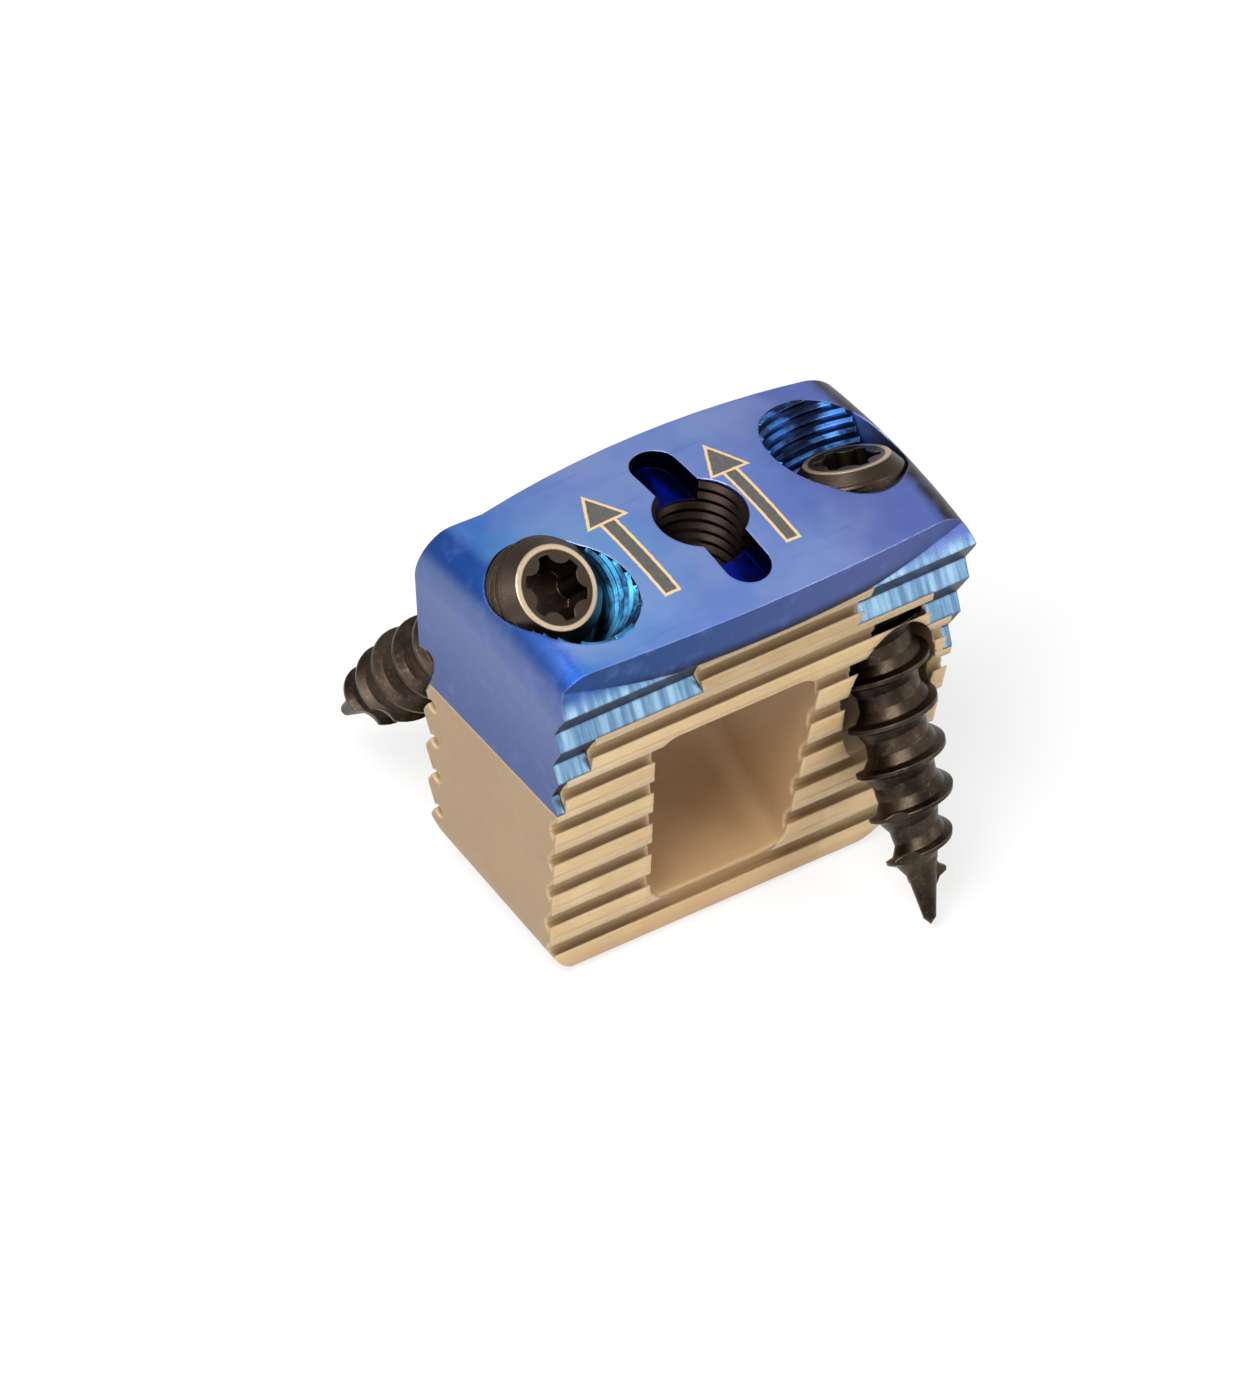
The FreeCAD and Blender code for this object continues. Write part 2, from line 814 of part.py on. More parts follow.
def screw_thread(name):
    """The threaded part of the shank from the neck to the point as one solid."""
    item = doc.addObject("Part::Feature", name)
    turn = cell("thread_pitch").value
    top = (cell("thread_lead") - cell("head_depth") - cell("neck_length")).value
    tip_level = (cell("point_diameter") / 2 - cell("screw_length")).value
    turns = math.floor((top - tip_level) / turn)
    middles = [top - turn * (turns - number - 0.5) for number in range(turns)]
    tracks = ridge_tracks()
    lowest = wound_edge(middles[0], *tracks[0])
    faces = []
    for middle in middles:
        below = wound_edge(middle, *tracks[0])
        for track in tracks[1:]:
            above = wound_edge(middle, *track)
            faces.append(Part.makeRuledSurface(below, above))
            below = above
    faces += thread_end(lowest, middles[0])
    faces += thread_end(below, middles[-1] + turn)
    shell = Part.makeShell(faces)
    shell.sewShape()
    solid = Part.makeSolid(shell.Shells[0])
    if solid.Volume < 0:
        solid.reverse()
    item.Shape = solid
    return item


LOBE_ANGLES = (0, 60, 120, 180, 240, 300)
FLUTE_ANGLES = (40, 220)


def socket(name):
    """A six-lobed driver socket: a round hole with six bumps left standing in it."""
    radius = cell("socket_diameter") / 2
    hole = primitive("Part::Cylinder", f"{name}_round", Radius=radius, Height=cell("socket_depth") + pitch)
    place(hole, (0, 0, -cell("socket_depth")))
    bumps = []
    bump_radius = cell("socket_bump") / 2
    reach = cell("socket_waist") / 2 + bump_radius
    for angle in LOBE_ANGLES:
        bump = primitive("Part::Cylinder", f"{name}_bump_{angle}", Radius=bump_radius, Height=depth)
        spoke = Rotation(Vector(0, 0, 1), angle).multVec(Vector(1, 0, 0))
        bumps.append(place(bump, (reach * spoke.x, reach * spoke.y, -depth / 2)))
    return combine("Part::Cut", name, hole, fuse_all(f"{name}_bumps", bumps))


def flutes(name):
    """Two cutting flutes at the point, leaning outward with its taper."""
    cuts = []
    radius = cell("flute_width") / 2
    off = radius + cell("flute_web") / 2
    for angle in FLUTE_ANGLES:
        cut = primitive("Part::Cylinder", f"{name}_{angle}", Radius=radius, Height=cell("flute_length") * 2)
        spoke = Rotation(Vector(0, 0, 1), angle).multVec(Vector(1, 0, 0))
        foot = (off * spoke.x, off * spoke.y, -cell("screw_length"))
        cuts.append(place(cut, foot, Rotation(Vector(-spoke.y, spoke.x, 0), cell("flute_lean").value)))
    return fuse_all(name, cuts)


screws = []
for side, screw in SCREWS.items():
    name = f"bone_screw_{side}"
    form = combine("Part::Fuse", f"{name}_form", screw_core(f"{name}_core"), screw_thread(f"{name}_thread"))
    cuts = fuse_all(f"{name}_cuts", [socket(f"{name}_socket"), flutes(f"{name}_flutes")])
    item = combine("Part::Cut", name, form, cuts)
    place(item, screw["head"], turn_to(screw["direction"]))
    screws.append(item)

doc.recompute()

# Check every object, then write each sub-part under its own name
sub_parts = [cage_body, front_plate, threaded_bush] + screws + pins
failed = [item.Name for item in doc.Objects if "Invalid" in item.State or "Error" in item.State]
if failed:
    raise RuntimeError(f"these objects failed: {failed}")
os.makedirs("parts", exist_ok=True)
for item in sub_parts:
    item.Label = item.Name
    shape = item.Shape
    if shape.isNull() or not shape.isValid() or not shape.Solids:
        raise RuntimeError(f"{item.Label} has no valid solid")
    shape.exportStep(f"parts/{item.Label}.step")
    print(item.Label, len(shape.Solids), round(shape.Volume, 3), shape.BoundBox)
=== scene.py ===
import math

import bmesh
import bpy
from mathutils import Matrix, Vector
from mathutils.bvhtree import BVHTree


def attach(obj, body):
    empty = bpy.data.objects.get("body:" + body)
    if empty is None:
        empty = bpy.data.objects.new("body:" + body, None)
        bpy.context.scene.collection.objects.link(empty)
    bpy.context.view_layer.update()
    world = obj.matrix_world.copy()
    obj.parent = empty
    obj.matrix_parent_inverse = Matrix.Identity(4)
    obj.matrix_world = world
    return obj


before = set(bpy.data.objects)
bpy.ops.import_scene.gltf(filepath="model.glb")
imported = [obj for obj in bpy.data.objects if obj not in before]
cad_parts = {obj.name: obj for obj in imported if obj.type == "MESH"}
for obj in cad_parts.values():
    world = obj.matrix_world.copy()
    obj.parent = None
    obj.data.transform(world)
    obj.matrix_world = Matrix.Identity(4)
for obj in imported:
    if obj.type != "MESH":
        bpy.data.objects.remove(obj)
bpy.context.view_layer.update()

# Sizes of the modelled cage that the looks refer to, in metres
MM = 0.001
PLATE_DEPTH = 15.4 * MM
FIRST_CREST = 13.37 * MM
SOCKET_RADIUS = 1.65 * MM
BUSH_FOOT = 10.05 * MM
SEAT_RADIUS = 2.05 * MM
SLOT_FLOOR = 14.4 * MM
SLOT_HALF_WIDTH = 0.94 * MM
SLOT_HALF_LENGTH = 3.63 * MM
WINDOW_HALF_WIDTH = 3.675 * MM
SEAT_CENTRE = Vector((5.75, 0.82, 15.1)) * MM
SEAT_TILT = math.radians(36.3)
SEAT_LEAN = math.radians(3.2)
LEFT_HEAD = Vector((-6.04, -0.32, 15.1)) * MM
RIGHT_HEAD = Vector((6.12, 0.14, 14.75)) * MM
RIGHT_TILT = math.radians(29.6)
RIGHT_LEAN = math.radians(-3.5)
HEAD_RADIUS = 1.9 * MM
LOCK_PITCH = 0.37 * MM
SOCKET_PITCH = 0.47 * MM


def screw_axis(hand, tilt, lean):
    """Direction from the point to the head of a screw on one side of the plate."""
    leaned = Matrix.Rotation(-lean * hand, 3, "Y") @ Vector((0, 0, 1))
    return Matrix.Rotation(-tilt * hand, 3, "X") @ leaned


def seat_centre(hand):
    """Middle of the screw seat on one side, each the other turned half round."""
    return Vector((SEAT_CENTRE.x * hand, SEAT_CENTRE.y * hand, SEAT_CENTRE.z))


LEFT_AXIS = screw_axis(-1, SEAT_TILT, SEAT_LEAN)
RIGHT_AXIS = screw_axis(1, RIGHT_TILT, RIGHT_LEAN)


def dye(red, green, blue):
    """A display colour out of 255 as the linear colour that a shader takes."""
    linear = []
    for part in (red, green, blue):
        share = part / 255
        linear.append(share / 12.92 if share <= 0.04045 else ((share + 0.055) / 1.055) ** 2.4)
    return (*linear, 1)


class Finish:
    """One material, with short calls for the nodes that its pattern needs."""

    def __init__(self, name):
        self.material = bpy.data.materials.new(name)
        self.material.use_nodes = True
        self.tree = self.material.node_tree
        self.tree.nodes.clear()
        self.place = self.node("ShaderNodeTexCoord").outputs["Object"]
        split = self.node("ShaderNodeSeparateXYZ", Vector=self.place)
        self.x, self.y, self.z = split.outputs
        facing = self.node("ShaderNodeNewGeometry").outputs["Normal"]
        self.facing = facing
        split = self.node("ShaderNodeSeparateXYZ", Vector=facing)
        self.face_x, self.face_y, self.face_z = split.outputs

    def node(self, kind, settings=None, **inputs):
        """A node with its settings, and its inputs joined to sockets or set to values."""
        made = self.tree.nodes.new(kind)
        for key, value in (settings or {}).items():
            setattr(made, key, value)
        for key, value in inputs.items():
            self.feed(made.inputs[key.replace("_", " ")], value)
        return made

    def feed(self, socket, value):
        """Join a socket to another, or set its value."""
        if isinstance(value, bpy.types.NodeSocket):
            self.tree.links.new(value, socket)
        else:
            socket.default_value = value

    def sum(self, operation, *values):
        """A Math node."""
        made = self.node("ShaderNodeMath", {"operation": operation})
        for socket, value in zip(made.inputs, values):
            self.feed(socket, value)
        return made.outputs[0]

    def step(self, value, start, finish):
        """A smooth rise from 0 at start to 1 at finish."""
        made = self.node("ShaderNodeMapRange", {"interpolation_type": "SMOOTHSTEP"})
        for key, amount in (("Value", value), ("From Min", start), ("From Max", finish)):
            self.feed(made.inputs[key], amount)
        return made.outputs[0]

    def within(self, value, limit, blur):
        """1 where a value lies within a limit on both sides of 0, blurred at the limit."""
        return self.step(self.sum("ABSOLUTE", value), limit + blur, limit - blur)

    def mix(self, share, first, second, kind="MIX"):
        """A blend of two colours."""
        made = self.node("ShaderNodeMix", {"data_type": "RGBA", "blend_type": kind})
        self.feed(made.inputs["Factor"], share)
        self.feed(made.inputs[6], first)
        self.feed(made.inputs[7], second)
        return made.outputs[2]

    def stain(self, colour, mask, share, tint):
        """A colour blended towards a tint by a share, where a mask is."""
        return self.mix(self.sum("MULTIPLY", mask, share), colour, tint)

    def grain(self, per_mm, detail=3.0, stretch=(1, 1, 1), roughness=0.55):
        """Noise with a number of spots to the millimetre, drawn out along the axes."""
        scaled = self.node("ShaderNodeMapping", {"vector_type": "POINT"}, Vector=self.place)
        scaled.inputs["Scale"].default_value = [per_mm / MM * part for part in stretch]
        made = self.node("ShaderNodeTexNoise", Vector=scaled.outputs[0])
        made.inputs["Scale"].default_value = 1
        made.inputs["Detail"].default_value = detail
        made.inputs["Roughness"].default_value = roughness
        return made.outputs[0]

    def about(self, centre, axis):
        """Distance from an axis, and height along it above a centre."""
        arm = self.node("ShaderNodeVectorMath", {"operation": "SUBTRACT"})
        self.feed(arm.inputs[0], self.place)
        arm.inputs[1].default_value = centre
        along = self.node("ShaderNodeVectorMath", {"operation": "DOT_PRODUCT"})
        self.feed(along.inputs[0], arm.outputs[0])
        along.inputs[1].default_value = axis
        across = self.node("ShaderNodeVectorMath", {"operation": "CROSS_PRODUCT"})
        self.feed(across.inputs[0], arm.outputs[0])
        across.inputs[1].default_value = axis
        length = self.node("ShaderNodeVectorMath", {"operation": "LENGTH"})
        self.feed(length.inputs[0], across.outputs[0])
        return length.outputs["Value"], along.outputs["Value"]

    def soft_edge(self, radius):
        """Normals rounded over the edges, and how much each point is on an edge."""
        rounded = self.node("ShaderNodeBevel", {"samples": 6}, Radius=radius).outputs[0]
        turned = self.node("ShaderNodeVectorMath", {"operation": "DOT_PRODUCT"})
        self.feed(turned.inputs[0], rounded)
        self.feed(turned.inputs[1], self.facing)
        bend = self.sum("SUBTRACT", 1, turned.outputs["Value"])
        return rounded, bend

    def hollow(self, reach):
        """How open each point is, 0 deep in a recess and 1 in the open."""
        settings = {"samples": 8, "only_local": False}
        made = self.node("ShaderNodeAmbientOcclusion", settings, Distance=reach)
        return made.outputs["AO"]

    def relief(self, height, depth, normal=None):
        """Small bumps of a given depth in metres."""
        made = self.node("ShaderNodeBump", Height=height, Distance=depth)
        made.inputs["Strength"].default_value = 1
        if normal is not None:
            self.feed(made.inputs["Normal"], normal)
        return made.outputs[0]

    def seal(self, colour, roughness, normal, metallic=0.0, **fixed):
        """The final surface from its colour, roughness and normals."""
        shader = self.node("ShaderNodeBsdfPrincipled")
        self.feed(shader.inputs["Base Color"], colour)
        self.feed(shader.inputs["Roughness"], roughness)
        self.feed(shader.inputs["Normal"], normal)
        self.feed(shader.inputs["Metallic"], metallic)
        for key, value in fixed.items():
            shader.inputs[key.replace("_", " ")].default_value = value
        self.node("ShaderNodeOutputMaterial", Surface=shader.outputs[0])
        return self.material


# Polymer body: warm tan, waxy, with the marks of the cutter along the teeth
def polymer_finish():
    look = Finish("cage_polymer")
    rounded, bend = look.soft_edge(0.24 * MM)
    cloud = look.grain(0.25, 3)
    streak = look.grain(1.6, 4, (0.12, 1, 1))
    fleck = look.grain(9.0, 2)
    colour = look.mix(look.step(cloud, 0.35, 0.7), dye(192, 162, 120), dye(206, 178, 136))
    colour = look.stain(colour, look.step(streak, 0.45, 0.75), 0.3, dye(172, 140, 98))
    colour = look.stain(colour, look.step(fleck, 0.62, 0.75), 0.3, dye(146, 114, 78))
    # painted shade: the cage's side faces are darkened to a greyer tan
    side = look.step(look.sum("ABSOLUTE", look.face_x), 0.6, 0.95)
    colour = look.stain(colour, side, 0.8, dye(134, 110, 84))
    # painted shadow: a darker band across the cage just under the plate's edge
    shade_under_plate = look.step(look.z, 10.5 * MM, 12.6 * MM)
    colour = look.stain(colour, shade_under_plate, 0.55, dye(148, 120, 86))
    depth = look.hollow(1.4 * MM)
    shade = look.step(depth, 0.9, 0.15)
    colour = look.stain(colour, shade, 0.45, dye(112, 84, 54))
    # painted shade: the inside of the graft window is darkened
    deep = look.step(look.sum("ABSOLUTE", look.y), 4.05 * MM, 3.2 * MM)
    shaded_window = look.within(look.x, WINDOW_HALF_WIDTH, 0.075 * MM)
    inside = look.sum("MULTIPLY", deep, shaded_window)
    colour = look.stain(colour, inside, 0.7, dye(184, 148, 106))
    colour = look.stain(colour, look.step(bend, 0.02, 0.25), 0.45, dye(228, 208, 172))
    roughness = look.sum("MULTIPLY_ADD", cloud, 0.2, 0.42)
    marks = look.sum("ADD", look.grain(4.5, 3, (0.08, 1, 1)), look.sum("MULTIPLY", fleck, 0.4))
    normal = look.relief(marks, 0.03 * MM, rounded)
    return look.seal(
        colour, roughness, normal,
        Subsurface_Weight=0.2, Subsurface_Radius=(1.0, 0.55, 0.25), Subsurface_Scale=0.4 * MM,
        Specular_IOR_Level=0.35,
    )


# Printed arrows in mm: middle, half width, half shaft, tip, shoulder, tail, line
ARROWS = (
    (-2.9, 0.83, 0.33, 2.84, 1.23, -2.5, 0.11),
    (2.03, 0.81, 0.31, 2.78, 1.15, -2.48, 0.11),
)


def arrow_masks(look, centre, half_width, shaft, tip, shoulder, tail, line):
    """The fill and the outline of one arrow on the plate's front."""
    aside = look.sum("ABSOLUTE", look.sum("SUBTRACT", look.x, centre))
    slope = half_width / (tip - shoulder)
    steep = math.sqrt(1 + slope * slope)
    spread = look.sum("MULTIPLY", look.sum("SUBTRACT", tip, look.y), slope)
    flank = look.sum("DIVIDE", look.sum("SUBTRACT", aside, spread), steep)
    head = look.sum("MAXIMUM", flank, look.sum("SUBTRACT", shoulder, look.y))
    middle = (shoulder + tail) / 2
    along = look.sum("ABSOLUTE", look.sum("SUBTRACT", look.y, middle))
    length = look.sum("SUBTRACT", along, (shoulder - tail) / 2 + line)
    bar = look.sum("MAXIMUM", look.sum("SUBTRACT", aside, shaft), length)
    away = look.sum("MINIMUM", head, bar)
    wobble = look.sum("MULTIPLY_ADD", look.grain(5.0, 2), 0.05 * MM, -0.025 * MM)
    away = look.sum("ADD", away, wobble)
    fill = look.step(away, -line * 0.75, -line * 1.15)
    whole = look.step(away, line * 0.2, -line * 0.15)
    return fill, whole


# Front plate: satin blue anodising that drifts from cyan to lavender, with painted shade and
# painted reflection that darken it towards navy and near-black
def anodised_finish():
    look = Finish("plate_blue")
    rounded, bend = look.soft_edge(0.1 * MM)
    cloud = look.grain(0.16, 4)
    mist = look.grain(1.1, 5)
    scratch = look.grain(2.2, 4, (0.06, 1, 1))
    drift = look.sum("ADD", look.x, look.sum("MULTIPLY_ADD", cloud, 4 * MM, -2 * MM))
    top = look.mix(look.step(drift, -7.2 * MM, -3.0 * MM), dye(64, 120, 200), dye(112, 140, 208))
    top = look.mix(look.step(drift, 1.5 * MM, 5.5 * MM), top, dye(99, 117, 188))
    glow = look.node("ShaderNodeVectorMath", {"operation": "DISTANCE"})
    look.feed(glow.inputs[0], look.place)
    glow.inputs[1].default_value = (-5.4 * MM, -0.6 * MM, 15 * MM)
    near = look.step(glow.outputs["Value"], 4.6 * MM, 2.0 * MM)
    top = look.stain(top, near, 0.75, dye(110, 160, 214))
    pale = look.step(look.grain(0.22, 3), 0.45, 0.68)
    top = look.stain(top, pale, 0.45, dye(152, 168, 214))
    # painted reflection: surfaces turned to the right go a near-black grey
    right = look.step(look.face_x, 0.1, 0.42)
    top = look.mix(right, top, dye(44, 41, 46))
    # painted shade: surfaces turned to the left go a deeper blue
    left = look.step(look.face_x, -0.08, -0.42)
    top = look.stain(top, left, 0.9, dye(31, 68, 143))
    # painted shade: the plate's side faces are greyer than its front, and darker towards the
    # bottom
    side = look.step(look.sum("ABSOLUTE", look.face_x), 0.72, 0.95)
    shaded_lateral = look.mix(look.step(look.z, 8.5 * MM, 14.0 * MM), dye(70, 90, 146), dye(98, 116, 164))
    colour = look.mix(side, top, shaded_lateral)
    # painted shade: the plate's near and far faces are a darker blue, darkest to the left
    front = look.step(look.sum("ABSOLUTE", look.face_y), 0.45, 0.85)
    shaded_band = look.mix(look.step(look.x, -6.0 * MM, 4.0 * MM), dye(47, 75, 128), dye(75, 89, 143))
    colour = look.mix(front, colour, shaded_band)
    # painted light and shade on the teeth: facets facing up are a lit pale cyan with brushed
    # streaks, facets facing down a shaded dark navy
    low = look.step(look.z, FIRST_CREST + 0.55 * MM, FIRST_CREST)
    tooth = look.sum("MULTIPLY", low, look.step(look.sum("ABSOLUTE", look.face_y), 0.3, 0.5))
    up = look.step(look.face_z, 0.1, 0.35)
    brushed = look.grain(3.4, 4, (1, 0.08, 0.08))
    lit_facet = look.mix(look.step(brushed, 0.35, 0.7), dye(82, 114, 144), dye(138, 170, 192))
    lit_and_shaded_teeth = look.mix(up, dye(34, 42, 62), lit_facet)
    colour = look.mix(tooth, colour, lit_and_shaded_teeth)
    colour = look.stain(colour, look.step(mist, 0.5, 0.75), 0.2, dye(132, 150, 218))
    colour = look.stain(colour, look.step(scratch, 0.6, 0.72), 0.18, dye(52, 76, 160))
    # wear in patches along the edges, which also serves as a painted highlight on them
    patches = look.step(look.grain(2.6, 3), 0.35, 0.62)
    worn_and_highlit = look.sum("MULTIPLY", look.step(bend, 0.04, 0.3), patches)
    colour = look.stain(colour, worn_and_highlit, 0.6, dye(170, 156, 196))
    # recesses: slot walls painted black as shade over a royal blue floor with painted reflection
    # streaks, and a dark bore
    sunk = look.step(look.z, PLATE_DEPTH - 0.12 * MM, PLATE_DEPTH - 0.3 * MM)
    across_slot = look.within(look.x, SLOT_HALF_WIDTH, 0.02 * MM)
    along_slot = look.within(look.y, SLOT_HALF_LENGTH, 0.03 * MM)
    in_slot = look.sum("MULTIPLY", across_slot, along_slot)
    steep = look.step(look.face_z, 0.8, 0.6)
    low_down = look.step(look.z, SLOT_FLOOR + 0.3 * MM, SLOT_FLOOR + 0.2 * MM)
    recess = look.sum("MULTIPLY", look.sum("MAXIMUM", steep, low_down), in_slot)
    reflection_streaks = look.step(look.grain(1.3, 4, (1, 0.3, 1)), 0.4, 0.62)
    floor = look.mix(reflection_streaks, dye(3, 8, 50), dye(6, 24, 150))
    shaded_slot_colour = look.mix(look.step(look.face_z, 0.6, 0.9), dye(10, 10, 16), floor)
    colour = look.mix(recess, colour, shaded_slot_colour)
    squares = [look.sum("MULTIPLY", side, side) for side in (look.x, look.y)]
    reach = look.sum("SQRT", look.sum("ADD", *squares))
    near_bore = look.step(reach, SOCKET_RADIUS + 0.05 * MM, SOCKET_RADIUS + 0.02 * MM)
    in_bore = look.sum("MULTIPLY", near_bore, sunk)
    colour = look.mix(in_bore, colour, dye(34, 28, 26))
    # painted shade: the walls of the screw seats are darkened to navy
    for hand in (-1, 1):
        reach, level = look.about(seat_centre(hand), screw_axis(hand, SEAT_TILT, SEAT_LEAN))
        wall = look.step(reach, SEAT_RADIUS + 0.06 * MM, SEAT_RADIUS + 0.03 * MM)
        wall = look.sum("MULTIPLY", wall, look.step(look.face_z, 0.75, 0.6))
        wall = look.sum("MULTIPLY", wall, look.step(level, -2.5 * MM, -2.3 * MM))
        colour = look.mix(wall, colour, dye(22, 30, 52))
    on_front = look.step(look.face_z, 0.75, 0.9)
    ink = look.mix(look.grain(6.0, 3), dye(54, 56, 54), dye(92, 92, 88))
    bare = 1.0
    for arrow in ARROWS:
        fill, whole = arrow_masks(look, *[part * MM for part in arrow])
        printed = look.sum("MULTIPLY", whole, on_front)
        colour = look.mix(printed, colour, dye(212, 180, 132))
        colour = look.mix(look.sum("MULTIPLY", fill, on_front), colour, ink)
        bare = look.sum("SUBTRACT", bare, printed)
    roughness = look.sum("MULTIPLY_ADD", mist, 0.16, 0.32)
    normal = look.relief(look.grain(14.0, 3), 0.005 * MM, rounded)
    return look.seal(colour, roughness, normal, metallic=bare)


# Threaded bush: near-black bronze
def bush_finish():
    look = Finish("bush_metal")
    rounded, bend = look.soft_edge(0.05 * MM)
    cloud = look.grain(1.2, 4)
    colour = look.mix(cloud, dye(20, 16, 16), dye(52, 42, 36))
    # painted highlight: a warm pale sheen along the thread edges
    colour = look.stain(colour, look.step(bend, 0.05, 0.4), 0.7, dye(120, 100, 84))
    normal = look.relief(look.grain(9.0, 3), 0.005 * MM, rounded)
    return look.seal(colour, look.sum("MULTIPLY_ADD", cloud, 0.2, 0.25), normal, metallic=1.0)


# Ridges in the screw seats: blue crests over black roots
def seat_ridge_finish():
    look = Finish("plate_ridges")
    rounded, bend = look.soft_edge(0.04 * MM)
    cloud = look.grain(0.9, 4)
    tint = look.mix(look.step(look.x, -4 * MM, 4 * MM), dye(70, 150, 200), dye(84, 140, 216))
    colour = look.mix(look.step(cloud, 0.38, 0.6), dye(30, 44, 74), tint)
    # painted highlight: a pale cyan sheen along the ridge crests
    colour = look.stain(colour, look.step(bend, 0.1, 0.5), 0.5, dye(150, 190, 225))
    normal = look.relief(look.grain(9.0, 3), 0.004 * MM, rounded)
    return look.seal(colour, look.sum("MULTIPLY_ADD", cloud, 0.2, 0.22), normal, metallic=1.0)


def screw_finish(name, head, axis):
    """Dark bronze-grey screw with a pale ring round its socket, and a painted highlight along its
    thread edges.
    """
    look = Finish(name)
    reach, height = look.about(head, axis)
    rounded, bend = look.soft_edge(0.07 * MM)
    cloud = look.grain(0.6, 4)
    speck = look.grain(5.5, 4)
    colour = look.mix(look.step(cloud, 0.35, 0.7), dye(42, 35, 30), dye(68, 58, 48))
    colour = look.stain(colour, look.step(speck, 0.5, 0.8), 0.4, dye(110, 94, 76))
    # painted highlight: a pale bronze sheen along the edges
    colour = look.stain(colour, look.step(bend, 0.05, 0.4), 0.7, dye(150, 130, 106))
    top = look.step(height, -0.7 * MM, -0.4 * MM)
    colour = look.stain(colour, top, 0.85, dye(66, 56, 48))
    # painted shade: the screw is darker where it lies beyond x = -8 mm
    shaded_far_left = look.step(look.x, -8 * MM, -9 * MM)
    colour = look.stain(colour, shaded_far_left, 0.5, dye(34, 28, 24))
    outside_socket = look.step(reach, 1.3 * MM, 1.36 * MM)
    inside_rim = look.step(reach, 1.54 * MM, 1.5 * MM)
    flat = look.step(height, -0.08 * MM, -0.04 * MM)
    ring = look.sum("MULTIPLY", look.sum("MULTIPLY", outside_socket, inside_rim), flat)
    colour = look.mix(ring, colour, dye(190, 170, 145))
    below = look.step(height, -0.02 * MM, -0.1 * MM)
    inside = look.sum("MULTIPLY", look.step(reach, 1.3 * MM, 1.2 * MM), below)
    inside = look.sum("MULTIPLY", inside, top)
    colour = look.stain(colour, inside, 0.8, dye(62, 50, 40))
    roughness = look.sum("MULTIPLY_ADD", cloud, 0.25, 0.26)
    normal = look.relief(look.grain(11.0, 3), 0.006 * MM, rounded)
    return look.seal(colour, roughness, normal, metallic=1.0)


def pin_finish(name, dark, pale):
    """Plain turned metal."""
    look = Finish(name)
    rounded, bend = look.soft_edge(0.04 * MM)
    colour = look.mix(look.grain(3.0, 3), dark, pale)
    colour = look.stain(colour, look.step(bend, 0.05, 0.4), 0.5, dye(220, 220, 225))
    normal = look.relief(look.grain(9.0, 3), 0.004 * MM, rounded)
    roughness = look.sum("MULTIPLY_ADD", look.grain(4.0, 2), 0.2, 0.25)
    return look.seal(colour, roughness, normal, metallic=1.0)


def dress(node, material):
    """Give a carried-over node its finish."""
    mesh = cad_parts[node].data
    mesh.materials.clear()
    mesh.materials.append(material)


dress("cage_body", polymer_finish())
plate_blue = anodised_finish()
dress("front_plate", plate_blue)
bush_metal = bush_finish()
dress("threaded_bush", bush_metal)
dress("bone_screw_left", screw_finish("screw_dark_left", LEFT_HEAD, LEFT_AXIS))
dress("bone_screw_right", screw_finish("screw_dark_right", RIGHT_HEAD, RIGHT_AXIS))
marker_metal = pin_finish("marker_metal", dye(120, 118, 122), dye(160, 158, 162))
plate_pin_metal = pin_finish("pin_metal", dye(170, 170, 172), dye(196, 196, 198))
for side in ("left", "right"):
    dress(f"marker_pin_{side}", marker_metal)
    dress(f"plate_pin_{side}", plate_pin_metal)


# Fine threads that the solids leave plain, each a ridge wound on a bore or a head
TURN_STEPS = 90


class Wall:
    """Tells whether a point lies inside one of the carried-over nodes."""

    OUTWARD = Vector((0.2113, 0.3371, 0.9174)).normalized()

    def __init__(self, *nodes):
        self.trees = []
        for node in nodes:
            shape = bmesh.new()
            shape.from_mesh(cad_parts[node].data)
            self.trees.append(BVHTree.FromBMesh(shape))
            shape.free()

    def holds(self, point):
        return any(self.crossings(tree, point) % 2 for tree in self.trees)

    def crossings(self, tree, point):
        """How many faces lie on a line from a point to the outside."""
        count = 0
        spot, normal, face, distance = tree.ray_cast(point, self.OUTWARD)
        while spot is not None:
            count += 1
            spot, normal, face, distance = tree.ray_cast(spot + self.OUTWARD * 1e-7, self.OUTWARD)
        return count


